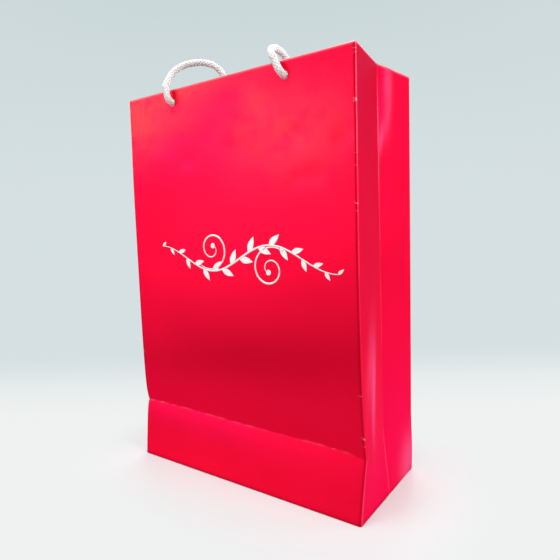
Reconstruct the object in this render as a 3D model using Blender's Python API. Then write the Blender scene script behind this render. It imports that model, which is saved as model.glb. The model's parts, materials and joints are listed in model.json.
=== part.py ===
# A paper gift bag: creased wall sheets, a turned-in hem, stiffening cards, a folded base and cord handles.
# Metres, +Z up, X across the bag, the front faces -Y, origin at the middle of the base.
import math

import bmesh
import bpy
from mathutils import Vector

# Outside of the bag
BAG_HEIGHT = 0.320
BASE_WIDTH = 0.220
BASE_DEPTH = 0.100
RIM_WIDTH = 0.218
RIM_DEPTH = 0.096

# The crease across the walls above the base, where the front is drawn in and the back only a little.
# The walls above curve in towards it, the band below slopes in and then dips into it at a lip.
CREASE_HEIGHT = 0.048
CREASE_PINCH = 0.008
BACK_PINCH_SHARE = 0.12
PINCH_REACH = 0.030
PINCH_STEPS = (0.35, 0.8, 1.4, 2.2, 3.4, 5.0, 6.7)
BAND_SLOPE = 0.0055
LIP_REACH = 0.004
LIP_STEPS = (3.0, 1.6, 0.8, 0.3)

# How far the middle fold of each side gusset is pushed in
GUSSET_TUCK_RIM = 0.007
GUSSET_TUCK_CREASE = 0.005
GUSSET_COLUMNS = 4

# Sheet materials and the gap between layers
PAPER = 0.0004
HANDLE_CARD = 0.0009
BASE_CARD = 0.0012
LAYER_GAP = 0.0003

# Hem, stiffening cards, glued seam and base
HEM_DEPTH = 0.036
HEM_END_CLEARANCE = 0.0015
HANDLE_CARD_WIDTH = 0.180
HANDLE_CARD_HEIGHT = 0.030
HANDLE_CARD_DROP = 0.001
SEAM_WIDTH = 0.015
SEAM_CLEARANCE = 0.002
FLAP_OVERLAP = 0.024
FLAP_END_CUT = 0.030
SIDE_FLAP_LENGTH = 0.045
SIDE_FLAP_END_CUT = 0.030
BOARD_CLEARANCE = 0.0007

# Cord handles
CORD_DIAMETER = 0.0055
HOLE_SPACING = 0.110
HOLE_DROP = 0.0105
HOLE_CLEARANCE = 0.0005
CORD_STANDOFF = 0.0045
PIVOT_RISE = 0.002
LEFT_END_LEAN = 0.0023
RIGHT_END_LEAN = 0.006
KNOT_DIAMETER = 0.0145
KNOT_LENGTH = 0.013
KNOT_TAIL = 0.007
POINTS_APART = 2.0

# Route of a handle at rest from its left end, then up to its right end: across, inwards and up
# from where each end bends over the rim
LEFT_LEG = [
    (0.0, 0.0, 0.0), (0.0002, 0.0028, 0.0052), (0.0026, 0.0077, 0.0126), (0.0088, 0.0128, 0.0172),
    (0.0172, 0.0172, 0.0187), (0.0258, 0.0213, 0.0177), (0.0328, 0.0250, 0.0142), (0.0376, 0.0280, 0.0070),
    (0.0404, 0.0298, -0.0050), (0.0424, 0.0305, -0.0200), (0.0460, 0.0305, -0.0365),
    (0.0530, 0.0305, -0.0510), (0.0635, 0.0305, -0.0600),
]
RIGHT_LEG = [
    (-0.0300, 0.0303, -0.0610), (-0.0185, 0.0300, -0.0540), (-0.0108, 0.0300, -0.0405),
    (-0.0068, 0.0300, -0.0245), (-0.0052, 0.0297, -0.0095), (-0.0052, 0.0275, 0.0022),
    (-0.0062, 0.0222, 0.0086), (-0.0070, 0.0150, 0.0105), (-0.0066, 0.0082, 0.0085),
    (-0.0040, 0.0032, 0.0045), (0.0, 0.0, 0.0),
]

# Finishes
RED_PAPER = (0.86, 0.012, 0.055)
WHITE_PAPER = (0.86, 0.85, 0.83)
GREY_BOARD = (0.62, 0.58, 0.52)
WHITE_CORD = (0.90, 0.89, 0.87)
LAMINATE_ROUGHNESS = 0.30
PLAIN_ROUGHNESS = 0.75

# Derived sizes
CORD_RADIUS = CORD_DIAMETER / 2
HOLE_RADIUS = CORD_RADIUS + HOLE_CLEARANCE
HOLE_HEIGHT = BAG_HEIGHT - HOLE_DROP
PIVOT_HEIGHT = BAG_HEIGHT + PIVOT_RISE
LAYER_STEP = PAPER + LAYER_GAP
CARD_START = LAYER_STEP
HEM_START = CARD_START + HANDLE_CARD + LAYER_GAP
WALL_STACK = HEM_START + PAPER
SIDES = {"left": -1, "right": 1}
FACES = {"front": -1, "back": 1}
TURNED = {"left": "right", "right": "left"}


def clear_scene():
    for item in list(bpy.data.objects):
        bpy.data.objects.remove(item, do_unlink=True)


def finish(name, colour, roughness):
    material = bpy.data.materials.new(name)
    material.use_nodes = True
    shader = material.node_tree.nodes["Principled BSDF"]
    shader.inputs["Base Color"].default_value = (*colour, 1.0)
    shader.inputs["Roughness"].default_value = roughness
    shader.inputs["Metallic"].default_value = 0.0
    material.diffuse_color = (*colour, 1.0)
    return material


def add_object(name, data, colour, roughness):
    item = bpy.data.objects.new(name, data)
    data.materials.append(finish(name, colour, roughness))
    bpy.context.collection.objects.link(item)
    return item


def add_mesh(name, shape, colour, roughness):
    mesh = bpy.data.meshes.new(name)
    shape.to_mesh(mesh)
    shape.free()
    return add_object(name, mesh, colour, roughness)


def skin(grid):
    # Triangles over a grid of points, with the same diagonal in every cell
    for lower, upper in zip(grid, grid[1:]):
        for index in range(len(lower) - 1):
            yield lower[index], lower[index + 1], upper[index + 1]
            yield lower[index], upper[index + 1], upper[index]


def border(grid):
    right = [row[-1] for row in grid[1:-1]]
    left = [row[0] for row in grid[-2:0:-1]]
    return grid[0] + right + grid[-1][::-1] + left


def add_sheet(name, outer, inner, flipped, colour, roughness):
    # A closed sheet between two grids of points
    shape = bmesh.new()
    front = [[shape.verts.new(point) for point in row] for row in outer]
    rear = [[shape.verts.new(point) for point in row] for row in inner]
    faces = list(skin(front)) + [face[::-1] for face in skin(rear)]
    front_edge, rear_edge = border(front), border(rear)
    for index in range(len(front_edge)):
        before = index - 1
        faces.append((front_edge[index], front_edge[before], rear_edge[before], rear_edge[index]))
    for face in faces:
        shape.faces.new(face[::-1] if flipped else face)
    return add_mesh(name, shape, colour, roughness)


def add_pivot(name, place, turn):
    pivot = bpy.data.objects.new(name, None)
    pivot.empty_display_size = HOLE_SPACING / 4
    pivot.location = place
    pivot.rotation_euler = (0, 0, turn)
    bpy.context.collection.objects.link(pivot)
    return pivot


# Outline of the bag at a height, as half sizes

def half_width(height):
    return (BASE_WIDTH + (RIM_WIDTH - BASE_WIDTH) * height / BAG_HEIGHT) / 2


def half_depth(height, face):
    straight = (BASE_DEPTH + (RIM_DEPTH - BASE_DEPTH) * height / BAG_HEIGHT) / 2
    if height < CREASE_HEIGHT:
        lip = (CREASE_PINCH - BAND_SLOPE) * math.exp(-(CREASE_HEIGHT - height) / LIP_REACH)
        drawn_in = BAND_SLOPE * height / CREASE_HEIGHT + lip
    else:
        drawn_in = CREASE_PINCH * math.exp(-(height - CREASE_HEIGHT) / PINCH_REACH)
    return straight - drawn_in * (1.0 if face < 0 else BACK_PINCH_SHARE)


def gusset_tuck(height):
    if height < CREASE_HEIGHT:
        return GUSSET_TUCK_CREASE * height / CREASE_HEIGHT
    rise = (height - CREASE_HEIGHT) / (BAG_HEIGHT - CREASE_HEIGHT)
    return GUSSET_TUCK_CREASE + (GUSSET_TUCK_RIM - GUSSET_TUCK_CREASE) * rise


def corner(side, face):
    return lambda height: Vector((side * half_width(height), face * half_depth(height, face)))


def gusset_fold(side):
    return lambda height: Vector((side * (half_width(height) - gusset_tuck(height)), 0))


def rows_between(low, high):
    lips = [CREASE_HEIGHT - LIP_REACH * step for step in LIP_STEPS]
    bends = [CREASE_HEIGHT + PINCH_REACH * step for step in PINCH_STEPS]
    return [low] + [height for height in lips + bends if low < height < high] + [high]


def wall_sheet(name, start, end, low, high, span, depth=0.0, thickness=PAPER, columns=1,
               colour=RED_PAPER, roughness=LAMINATE_ROUGHNESS):
    # A sheet that follows the wall from one upright fold to the next, a depth in from the outer face.
    # span gives where it starts and ends along the wall, for that row's length.
    outer, inner = [], []
    for height in rows_between(low, high):
        first = start(height)
        last = end(height)
        along = (last - first).normalized()
        inwards = Vector((-along.y, along.x))
        flipped = inwards.dot(first + last) > 0
        if flipped:
            inwards.negate()
        near, far = span((last - first).length)
        stations = [near + (far - near) * index / columns for index in range(columns + 1)]
        line = [first + along * station + inwards * depth for station in stations]
        outer.append([(*point, height) for point in line])
        inner.append([(*(point + inwards * thickness), height) for point in line])
    return add_sheet(name, outer, inner, flipped, colour, roughness)


def flat_plate(name, outline, low, thickness, colour, roughness):
    # An outline that goes round to the left, seen from above, made solid
    shape = bmesh.new()
    lower = [shape.verts.new((x, y, low)) for x, y in outline]
    upper = [shape.verts.new((x, y, low + thickness)) for x, y in outline]
    shape.faces.new(lower[::-1])
    shape.faces.new(upper)
    for index in range(len(outline)):
        before = index - 1
        shape.faces.new((lower[before], lower[index], upper[index], upper[before]))
    return add_mesh(name, shape, colour, roughness)


# Walls: panels, gussets and the band below the crease

def full_span(length):
    return 0.0, length


def gusset_span(length):
    return LAYER_STEP, length - LAYER_GAP / 2


def build_walls():
    above = CREASE_HEIGHT + LAYER_GAP / 2
    below = CREASE_HEIGHT - LAYER_GAP / 2
    panels = {}
    for face_name, face in FACES.items():
        left, right = corner(-1, face), corner(1, face)
        panels[face_name] = wall_sheet(f"{face_name}_panel", left, right, above, BAG_HEIGHT, full_span)
        wall_sheet(f"{face_name}_base_band", left, right, 0.0, below, full_span)
        for side_name, side in SIDES.items():
            edge, fold = corner(side, face), gusset_fold(side)
            wall_sheet(f"{side_name}_gusset_{face_name}", edge, fold, above, BAG_HEIGHT, gusset_span,
                       columns=GUSSET_COLUMNS)
            wall_sheet(f"{side_name}_gusset_foot_{face_name}", edge, fold, 0.0, below, gusset_span,
                       columns=GUSSET_COLUMNS)
    return panels


def build_seam():
    # The flap that closes the tube of paper, glued inside the back half of the left gusset
    start = 2 * LAYER_STEP
    low = CREASE_HEIGHT + SEAM_CLEARANCE
    high = BAG_HEIGHT - HEM_DEPTH - SEAM_CLEARANCE
    wall_sheet("side_seam_flap", corner(-1, 1), gusset_fold(-1), low, high,
               lambda length: (start, start + SEAM_WIDTH), LAYER_STEP, colour=WHITE_PAPER,
               roughness=PLAIN_ROUGHNESS)


# The top edge: paper turned in over a stiffening card

def build_hems():
    low = BAG_HEIGHT - HEM_DEPTH
    hems = {}
    for face_name, face in FACES.items():
        hems[face_name] = wall_sheet(
            f"{face_name}_hem", corner(-1, face), corner(1, face), low, BAG_HEIGHT,
            lambda length: (HEM_END_CLEARANCE, length - HEM_END_CLEARANCE), HEM_START)
        for side_name, side in SIDES.items():
            wall_sheet(f"{side_name}_gusset_hem_{face_name}", corner(side, face), gusset_fold(side),
                       low, BAG_HEIGHT, lambda length: (WALL_STACK + LAYER_GAP, length - LAYER_GAP / 2),
                       LAYER_STEP, columns=GUSSET_COLUMNS)
    return hems


def build_handle_cards():
    high = BAG_HEIGHT - HANDLE_CARD_DROP
    low = high - HANDLE_CARD_HEIGHT
    cards = {}
    for face_name, face in FACES.items():
        cards[face_name] = wall_sheet(
            f"{face_name}_handle_card", corner(-1, face), corner(1, face), low, high,
            lambda length: ((length - HANDLE_CARD_WIDTH) / 2, (length + HANDLE_CARD_WIDTH) / 2),
            CARD_START, HANDLE_CARD, colour=GREY_BOARD, roughness=PLAIN_ROUGHNESS)
    return cards


def cut_cord_holes(sheets_by_face):
    for face_name, face in FACES.items():
        for side_name, side in SIDES.items():
            shape = bmesh.new()
            bmesh.ops.create_cone(shape, cap_ends=True, segments=24, radius1=HOLE_RADIUS,
                                  radius2=HOLE_RADIUS, depth=8 * WALL_STACK)
            cutter = add_mesh(f"{face_name}_{side_name}_hole", shape, GREY_BOARD, PLAIN_ROUGHNESS)
            cutter.location = (side * HOLE_SPACING / 2, face * half_depth(HOLE_HEIGHT, face), HOLE_HEIGHT)
            cutter.rotation_euler = (math.pi / 2, 0, 0)
            cutter.hide_render = True
            cutter.display_type = "WIRE"
            for sheets in sheets_by_face:
                cut = sheets[face_name].modifiers.new(f"{side_name} hole", "BOOLEAN")
                cut.operation = "DIFFERENCE"
                cut.solver = "EXACT"
                cut.object = cutter


# The base: two long flaps glued over each other, two end flaps, and a loose board on top

def base_room(top, face=FACES["front"]):
    # Half sizes left inside the walls at the top of a layer, by the front wall where none is named
    across = half_width(top) - gusset_tuck(top) - LAYER_STEP
    deep = half_depth(top, face) - LAYER_STEP
    return across, deep


def build_base():
    for layer, (face_name, face) in enumerate(FACES.items()):
        low = layer * LAYER_STEP
        across, deep = base_room(low + PAPER, face)
        reach = -face * FLAP_OVERLAP / 2
        outline = [(face * across, face * deep), (-face * across, face * deep),
                   (face * (FLAP_END_CUT - across), reach), (face * (across - FLAP_END_CUT), reach)]
        flat_plate(f"{face_name}_base_flap", outline, low, PAPER, RED_PAPER, LAMINATE_ROUGHNESS)
    low = len(FACES) * LAYER_STEP
    across, deep = base_room(low + PAPER)
    for side_name, side in SIDES.items():
        reach = side * (across - SIDE_FLAP_LENGTH)
        narrow = deep - SIDE_FLAP_END_CUT
        outline = [(side * across, -side * deep), (side * across, side * deep),
                   (reach, side * narrow), (reach, -side * narrow)]
        flat_plate(f"{side_name}_base_flap", outline, low, PAPER, WHITE_PAPER, PLAIN_ROUGHNESS)
    low += LAYER_STEP
    across, deep = base_room(low + BASE_CARD)
    across -= BOARD_CLEARANCE
    deep -= BOARD_CLEARANCE
    outline = [(-across, -deep), (across, -deep), (across, deep), (-across, deep)]
    flat_plate("base_board", outline, low, BASE_CARD, GREY_BOARD, PLAIN_ROUGHNESS)


# Cord handles

def smooth_curve(points, steps=24):
    # A Catmull-Rom curve through the points
    padded = [2 * points[0] - points[1], *points, 2 * points[-1] - points[-2]]
    curve = []
    for before, first, last, after in zip(padded, padded[1:], padded[2:], padded[3:]):
        for step in range(steps):
            t = step / steps
            curve.append(0.5 * (2 * first + (last - before) * t
                                + (2 * before - 5 * first + 4 * last - after) * t ** 2
                                + (3 * first - before - 3 * last + after) * t ** 3))
    return [*curve, points[-1]]


def even_points(curve, apart):
    lengths = [0.0]
    for first, last in zip(curve, curve[1:]):
        lengths.append(lengths[-1] + (last - first).length)
    count = max(2, round(lengths[-1] / apart))
    picked = []
    place = 0
    for index in range(count):
        while lengths[place + 1] < lengths[-1] * index / count:
            place += 1
        share = (lengths[-1] * index / count - lengths[place]) / (lengths[place + 1] - lengths[place])
        picked.append(curve[place].lerp(curve[place + 1], share))
    return [*picked, curve[-1]], lengths[-1]


def cord_tube(name, points, thickness, parent):
    curve = bpy.data.curves.new(name, "CURVE")
    curve.dimensions = "3D"
    curve.bevel_depth = CORD_RADIUS
    curve.bevel_resolution = 3
    curve.use_fill_caps = True
    spline = curve.splines.new("POLY")
    spline.points.add(len(points) - 1)
    for control, point, share in zip(spline.points, points, thickness):
        control.co = (*point, 1.0)
        control.radius = share
    tube = add_object(name, curve, WHITE_CORD, PLAIN_ROUGHNESS)
    tube.parent = parent
    return tube


def rounded_end(tip, next_point):
    # Points and thickness shares of a ball around the first point of a cord
    back = (tip - next_point).normalized() * CORD_RADIUS
    angles = [math.radians(degrees) for degrees in (84, 60, 30)]
    return [tip + back * math.sin(angle) for angle in angles], [math.cos(angle) for angle in angles]


def pivot_across(end_name):
    # Where an end of a handle bends over the rim, across the bag
    if end_name == "left":
        return -HOLE_SPACING / 2 - LEFT_END_LEAN
    return HOLE_SPACING / 2 - RIGHT_END_LEAN


def build_loop(face_name, pivot):
    left = [Vector(point) + Vector((pivot_across("left"), 0, 0)) for point in LEFT_LEG]
    right = [Vector(point) + Vector((pivot_across("right"), 0, 0)) for point in RIGHT_LEG]
    points, length = even_points(smooth_curve(left + right), POINTS_APART * CORD_DIAMETER)
    first_points, first_shares = rounded_end(points[0], points[1])
    last_points, last_shares = rounded_end(points[-1], points[-2])
    route = first_points + points + last_points[::-1]
    shares = first_shares + [1.0] * len(points) + last_shares[::-1]
    cord_tube(f"{face_name}_handle", route, shares, pivot)
    print(f"{face_name} handle: {length * 1000:.0f} mm of cord above the rim")


def build_knot(name, end_name, face, holes):
    # A cord end: the knot inside, the stretch through the hole, and the stretch up the outside to the rim.
    # Across, inwards and up from the middle of the bag's outer face at the height of the holes.
    hole = -HOLE_SPACING / 2 if end_name == "left" else HOLE_SPACING / 2
    knot = WALL_STACK + LAYER_GAP + KNOT_LENGTH / 2
    swell = KNOT_DIAMETER / CORD_DIAMETER
    stations = [(KNOT_LENGTH / 2 + KNOT_TAIL, 1.0), (KNOT_LENGTH / 2, 1.0), (KNOT_LENGTH * 0.42, 0.8 * swell),
                (KNOT_LENGTH * 0.18, swell), (-KNOT_LENGTH * 0.18, swell), (-KNOT_LENGTH * 0.42, 0.8 * swell),
                (-KNOT_LENGTH / 2, 1.0)]
    points = [Vector((hole, knot + offset, 0)) for offset, share in stations]
    shares = [share for offset, share in stations]
    outside = half_depth(HOLE_HEIGHT, face) - half_depth(BAG_HEIGHT, face) - CORD_STANDOFF
    rim = Vector((pivot_across(end_name), outside, HOLE_DROP + PIVOT_RISE))
    lean = (rim.x - hole) / rim.z
    rises = [(angle, -outside * (1 - math.cos(angle))) for angle in (0, math.pi / 6, math.pi / 3, math.pi / 2)]
    bend = [Vector((hole + lean * rise, outside * math.sin(angle), rise)) for angle, rise in rises]
    end = rim + (bend[-1] - rim).normalized() * (CORD_RADIUS + LAYER_GAP)
    points += [*bend, end]
    shares += [1.0] * (len(bend) + 1)
    cord_tube(name, points, shares, holes)


def build_handles():
    for face_name, face in FACES.items():
        turn = 0.0 if face < 0 else math.pi
        pivot_place = (0, face * (half_depth(BAG_HEIGHT, face) + CORD_STANDOFF), PIVOT_HEIGHT)
        pivot = add_pivot(f"{face_name}_handle_pivot", pivot_place, turn)
        build_loop(face_name, pivot)
        holes_place = (0, face * half_depth(HOLE_HEIGHT, face), HOLE_HEIGHT)
        holes = add_pivot(f"{face_name}_holes", holes_place, turn)
        for end_name in SIDES:
            side_name = end_name if face < 0 else TURNED[end_name]
            build_knot(f"{face_name}_{side_name}_knot", end_name, face, holes)


def main():
    clear_scene()
    panels = build_walls()
    build_seam()
    hems = build_hems()
    cards = build_handle_cards()
    cut_cord_holes([panels, cards, hems])
    build_base()
    build_handles()


main()
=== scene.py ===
import json
import math

import bmesh
import bpy
import numpy as np
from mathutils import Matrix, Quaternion, Vector, noise


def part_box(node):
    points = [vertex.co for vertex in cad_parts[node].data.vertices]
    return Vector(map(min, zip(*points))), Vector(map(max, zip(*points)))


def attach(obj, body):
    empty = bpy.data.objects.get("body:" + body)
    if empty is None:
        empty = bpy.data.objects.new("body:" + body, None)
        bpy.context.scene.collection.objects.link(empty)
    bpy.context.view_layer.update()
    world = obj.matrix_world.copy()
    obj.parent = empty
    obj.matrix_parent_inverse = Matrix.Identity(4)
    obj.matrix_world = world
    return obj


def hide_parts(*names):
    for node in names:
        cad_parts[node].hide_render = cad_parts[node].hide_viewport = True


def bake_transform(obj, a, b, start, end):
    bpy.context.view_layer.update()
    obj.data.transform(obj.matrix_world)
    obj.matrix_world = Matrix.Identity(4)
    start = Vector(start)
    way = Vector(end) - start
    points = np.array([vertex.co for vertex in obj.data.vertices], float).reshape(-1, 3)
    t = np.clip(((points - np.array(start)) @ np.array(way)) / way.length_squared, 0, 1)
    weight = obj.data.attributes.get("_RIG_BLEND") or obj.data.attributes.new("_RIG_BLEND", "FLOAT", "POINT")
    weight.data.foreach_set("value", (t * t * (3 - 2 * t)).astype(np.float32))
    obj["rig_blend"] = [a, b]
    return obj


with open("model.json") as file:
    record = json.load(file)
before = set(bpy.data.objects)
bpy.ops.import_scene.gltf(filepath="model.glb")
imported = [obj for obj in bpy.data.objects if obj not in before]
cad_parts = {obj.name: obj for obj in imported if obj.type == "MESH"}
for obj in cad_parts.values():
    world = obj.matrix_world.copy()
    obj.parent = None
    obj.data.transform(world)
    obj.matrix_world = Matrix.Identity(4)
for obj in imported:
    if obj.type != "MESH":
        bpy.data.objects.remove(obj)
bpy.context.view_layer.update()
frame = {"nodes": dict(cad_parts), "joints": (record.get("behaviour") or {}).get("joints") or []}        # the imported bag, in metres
scene = bpy.context.scene
scene.view_settings.view_transform = "Standard"


# Small helpers for node trees and meshes

def addNode(tree, kind, inputs=None, **settings):
    node = tree.nodes.new(kind)
    for name, value in settings.items():
        setattr(node, name, value)
    for key, value in (inputs or {}).items():
        if isinstance(value, bpy.types.NodeSocket):
            tree.links.new(value, node.inputs[key])
        else:
            node.inputs[key].default_value = value
    return node


def calc(tree, operation, *terms):
    return addNode(tree, "ShaderNodeMath", dict(enumerate(terms)), operation=operation).outputs[0]


def vecCalc(tree, operation, first, second):
    place = 3 if operation == "SCALE" else 1      # a plain number goes in the fourth socket
    node = addNode(tree, "ShaderNodeVectorMath", {0: first, place: second}, operation=operation)
    return node.outputs[0]


def newTree(name, sockets):
    tree = bpy.data.node_groups.new(name, "GeometryNodeTree")
    tree.interface.new_socket("Geometry", in_out="INPUT", socket_type="NodeSocketGeometry")
    for label, kind in sockets.items():
        tree.interface.new_socket(label, in_out="INPUT", socket_type="NodeSocket" + kind)
    tree.interface.new_socket("Geometry", in_out="OUTPUT", socket_type="NodeSocketGeometry")
    return tree, tree.nodes.new("NodeGroupInput").outputs, tree.nodes.new("NodeGroupOutput").inputs[0]


def runTree(host, tree, values):
    modifier = host.modifiers.new(tree.name, "NODES")
    modifier.node_group = tree
    for item in tree.interface.items_tree:
        if item.in_out == "INPUT" and item.name in values:
            modifier[item.identifier] = values[item.name]
    graph = bpy.context.evaluated_depsgraph_get()
    mesh = bpy.data.meshes.new_from_object(host.evaluated_get(graph))
    bpy.data.objects.remove(host, do_unlink=True)
    return mesh


def addPiece(name, mesh):
    mesh.name = name
    piece = bpy.data.objects.new(name, mesh)
    scene.collection.objects.link(piece)
    return piece


def lineObject(name, lines):
    points, edges, numbers = [], [], []
    for number, line in enumerate(lines):
        edges += [(len(points) + i, len(points) + i + 1) for i in range(len(line) - 1)]
        points += line
        numbers += [number] * len(line)
    mesh = bpy.data.meshes.new(name)
    mesh.from_pydata(points, edges, [])
    mesh.attributes.new("line", "FLOAT", "POINT").data.foreach_set("value", numbers)
    return addPiece(name, mesh)


def smoothLine(points, steps):
    # Catmull-Rom curve through the points
    padded = [2 * points[0] - points[1], *points, 2 * points[-1] - points[-2]]
    line = []
    for before, first, last, after in zip(padded, padded[1:], padded[2:], padded[3:]):
        for step in range(steps):
            t = step / steps
            line.append(0.5 * (2 * first + (last - before) * t + (2 * before - 5 * first + 4 * last - after) * t ** 2
                               + (3 * first - before - 3 * last + after) * t ** 3))
    return [*line, points[-1]]


def lengthsAlong(line):
    steps = [(last - first).length for first, last in zip(line, line[1:])]
    return np.concatenate([[0.0], np.cumsum(steps)])


# Camera, where the bag was seen from

viewpoint = {
    "azimuth": 34.84, "elevation": 5.75, "roll": -1.61,     # degrees
    "distance": 0.412, "aim": (0.0133, 0.0, 0.1619), "lens": 31.35,
}


def addCamera():
    turn, rise = math.radians(viewpoint["azimuth"]), math.radians(viewpoint["elevation"])
    back = Vector((math.sin(turn) * math.cos(rise), -math.cos(turn) * math.cos(rise), math.sin(rise)))
    camera = bpy.data.objects.new("camera", bpy.data.cameras.new("camera"))
    camera.data.lens = viewpoint["lens"]
    camera.data.clip_start = 0.01
    camera.location = Vector(viewpoint["aim"]) + back * viewpoint["distance"]
    camera.rotation_mode = "QUATERNION"
    camera.rotation_quaternion = (-back).to_track_quat("-Z", "Y") @ Quaternion((0, 0, 1), math.radians(viewpoint["roll"]))
    scene.collection.objects.link(camera)
    scene.camera = camera


addCamera()


# Finishes

def newFinish(name):
    material = bpy.data.materials.new(name)
    material.use_nodes = True
    tree = material.node_tree
    return material, tree, tree.nodes["Principled BSDF"].inputs


def objectNoise(tree, scale, detail=3.0, stretch=(1.0, 1.0, 1.0)):
    place = addNode(tree, "ShaderNodeTexCoord").outputs["Object"]
    mapped = addNode(tree, "ShaderNodeMapping", {"Vector": place, "Scale": stretch}).outputs[0]
    return addNode(tree, "ShaderNodeTexNoise", {"Vector": mapped, "Scale": scale, "Detail": detail}).outputs["Fac"]


def remap(tree, value, low, high, newLow, newHigh):
    return addNode(tree, "ShaderNodeMapRange", {"Value": value, "From Min": low, "From Max": high,
                                               "To Min": newLow, "To Max": newHigh}).outputs[0]


def mixColours(tree, share, first, second):
    node = addNode(tree, "ShaderNodeMix", data_type="RGBA")
    for socket, value in ((node.inputs[0], share), (node.inputs[6], first), (node.inputs[7], second)):
        if isinstance(value, bpy.types.NodeSocket):
            tree.links.new(value, socket)
        else:
            socket.default_value = (*value, 1.0) if isinstance(value, tuple) else value
    return node.outputs[2]


def addBump(tree, shader, height, distance, strength):
    bump = addNode(tree, "ShaderNodeBump", {"Height": height, "Distance": distance, "Strength": strength})
    tree.links.new(bump.outputs[0], shader["Normal"])


def readAttribute(tree, name):
    return addNode(tree, "ShaderNodeAttribute", attribute_name=name).outputs["Fac"]


# Besides the two reds, which vary at random, and the crack colour, which is real wear, these colours are painted light
# and shade: sheen, light on the band, a rosy reflection, shade, fold highlights and highlight streaks; the rim colour
# is wear with a painted highlight
laminate = {
    "red": (0.90, 0.0045, 0.040), "deepRed": (0.84, 0.0035, 0.034), "shade": (0.52, 0.002, 0.018),
    "sheenTone": (0.95, 0.028, 0.036), "rose": (0.96, 0.005, 0.085), "bright": (0.98, 0.0045, 0.038),
    "fold": (0.95, 0.075, 0.13), "crack": (0.93, 0.52, 0.57), "rim": (0.95, 0.52, 0.58), "streakTone": (0.95, 0.085, 0.22),
    "gloss": (0.29, 0.35), "shine": 0.004, "shineTint": (1.0, 0.4, 0.6, 1.0), "pearl": 0.5,
}


def laminateFinish():
    material, tree, shader = newFinish("redLaminate")
    shader["Specular IOR Level"].default_value = laminate["shine"]
    shader["Specular Tint"].default_value = laminate["shineTint"]
    shader["Metallic"].default_value = laminate["pearl"]
    cloudy = remap(tree, objectNoise(tree, 7.0), 0.35, 0.65, 0.0, 1.0)
    colour = mixColours(tree, cloudy, laminate["red"], laminate["deepRed"])
    breaks = remap(tree, objectNoise(tree, 45.0), 0.36, 0.55, 0.45, 0.85)
    flecks = remap(tree, objectNoise(tree, 210.0), 0.64, 0.72, 0.0, 0.5)
    level = objectNoise(tree, 75.0, 2.0, (0.25, 0.25, 1.0))
    ticks = remap(tree, calc(tree, "ABSOLUTE", calc(tree, "SUBTRACT", level, 0.60)), 0.0, 0.009, 0.5, 0.0)
    rimMottle = remap(tree, objectNoise(tree, 60.0), 0.3, 0.7, 0.75, 1.0)
    sheenMottle = remap(tree, objectNoise(tree, 75.0, 4.0), 0.34, 0.54, 0.4, 1.0)
    # Painted light and shade mixed over the red: painted sheen, painted light, a painted rosy reflection, painted
    # shade, painted highlight streaks and painted fold highlights; then real cracks and corner ticks, and the worn rim
    # with a painted highlight
    for name, share, mark in (("paintedSheen", sheenMottle, "sheenTone"), ("paintedBright", 1.0, "bright"), ("paintedRose", 1.0, "rose"),
                              ("paintedShade", 0.7, "shade"), ("paintedStreak", 1.0, "streakTone"),
                              ("foldHighlight", breaks, "fold"),
                              ("foldWear", flecks, "crack"), ("cornerWear", ticks, "crack"), ("rimWearAndSheen", rimMottle, "rim")):
        share = calc(tree, "MULTIPLY", readAttribute(tree, name), share)
        colour = mixColours(tree, share, colour, laminate[mark])
    tree.links.new(colour, shader["Base Color"])
    low, high = laminate["gloss"]
    tree.links.new(remap(tree, objectNoise(tree, 18.0, 2.0), 0.3, 0.7, low, high), shader["Roughness"])
    addBump(tree, shader, objectNoise(tree, 1100.0, 2.0), 0.00003, 0.35)
    return material


def barePaperFinish():
    material, tree, shader = newFinish("barePaper")
    fibres = objectNoise(tree, 420.0, 5.0, (1.0, 1.0, 0.35))
    white = mixColours(tree, remap(tree, fibres, 0.3, 0.7, 0.0, 1.0), (0.80, 0.79, 0.765), (0.87, 0.865, 0.85))
    tree.links.new(white, shader["Base Color"])
    shader["Roughness"].default_value = 0.85
    addBump(tree, shader, fibres, 0.00006, 0.4)
    return material


def boardFinish():
    material, tree, shader = newFinish("greyBoard")
    flecks = objectNoise(tree, 300.0, 6.0)
    pulp = objectNoise(tree, 40.0, 3.0)
    grey = mixColours(tree, remap(tree, pulp, 0.3, 0.7, 0.0, 1.0), (0.54, 0.50, 0.44), (0.66, 0.62, 0.56))
    tree.links.new(mixColours(tree, remap(tree, flecks, 0.62, 0.70, 0.0, 0.6), grey, (0.36, 0.32, 0.27)), shader["Base Color"])
    shader["Roughness"].default_value = 0.9
    addBump(tree, shader, flecks, 0.0001, 0.5)
    return material


def cordFinish():
    material, tree, shader = newFinish("braidedWhiteCord")
    yarn = objectNoise(tree, 900.0, 4.0)
    white = mixColours(tree, remap(tree, yarn, 0.3, 0.7, 0.0, 1.0), (0.84, 0.835, 0.83), (0.90, 0.895, 0.89))
    # The core seen between the strands is painted darker: painted shade
    tree.links.new(mixColours(tree, readAttribute(tree, "core"), white, (0.74, 0.74, 0.73)), shader["Base Color"])
    shader["Roughness"].default_value = 0.62
    shader["Sheen Weight"].default_value = 0.25
    addBump(tree, shader, yarn, 0.00006, 0.3)
    return material


def inkFinish():
    material, tree, shader = newFinish("whiteInk")
    speckle = objectNoise(tree, 500.0, 3.0)
    tree.links.new(mixColours(tree, remap(tree, speckle, 0.3, 0.7, 0.0, 1.0), (0.84, 0.80, 0.79), (0.90, 0.86, 0.85)),
                   shader["Base Color"])
    shader["Roughness"].default_value = 0.36
    shader["Metallic"].default_value = 0.3         # under the same laminate
    return material


redLaminate, barePaper, greyBoard = laminateFinish(), barePaperFinish(), boardFinish()
whiteCord, whiteInk = cordFinish(), inkFinish()
print("finishes made")


# Cord handles: one braided cord on each face, from knot to knot

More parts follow.
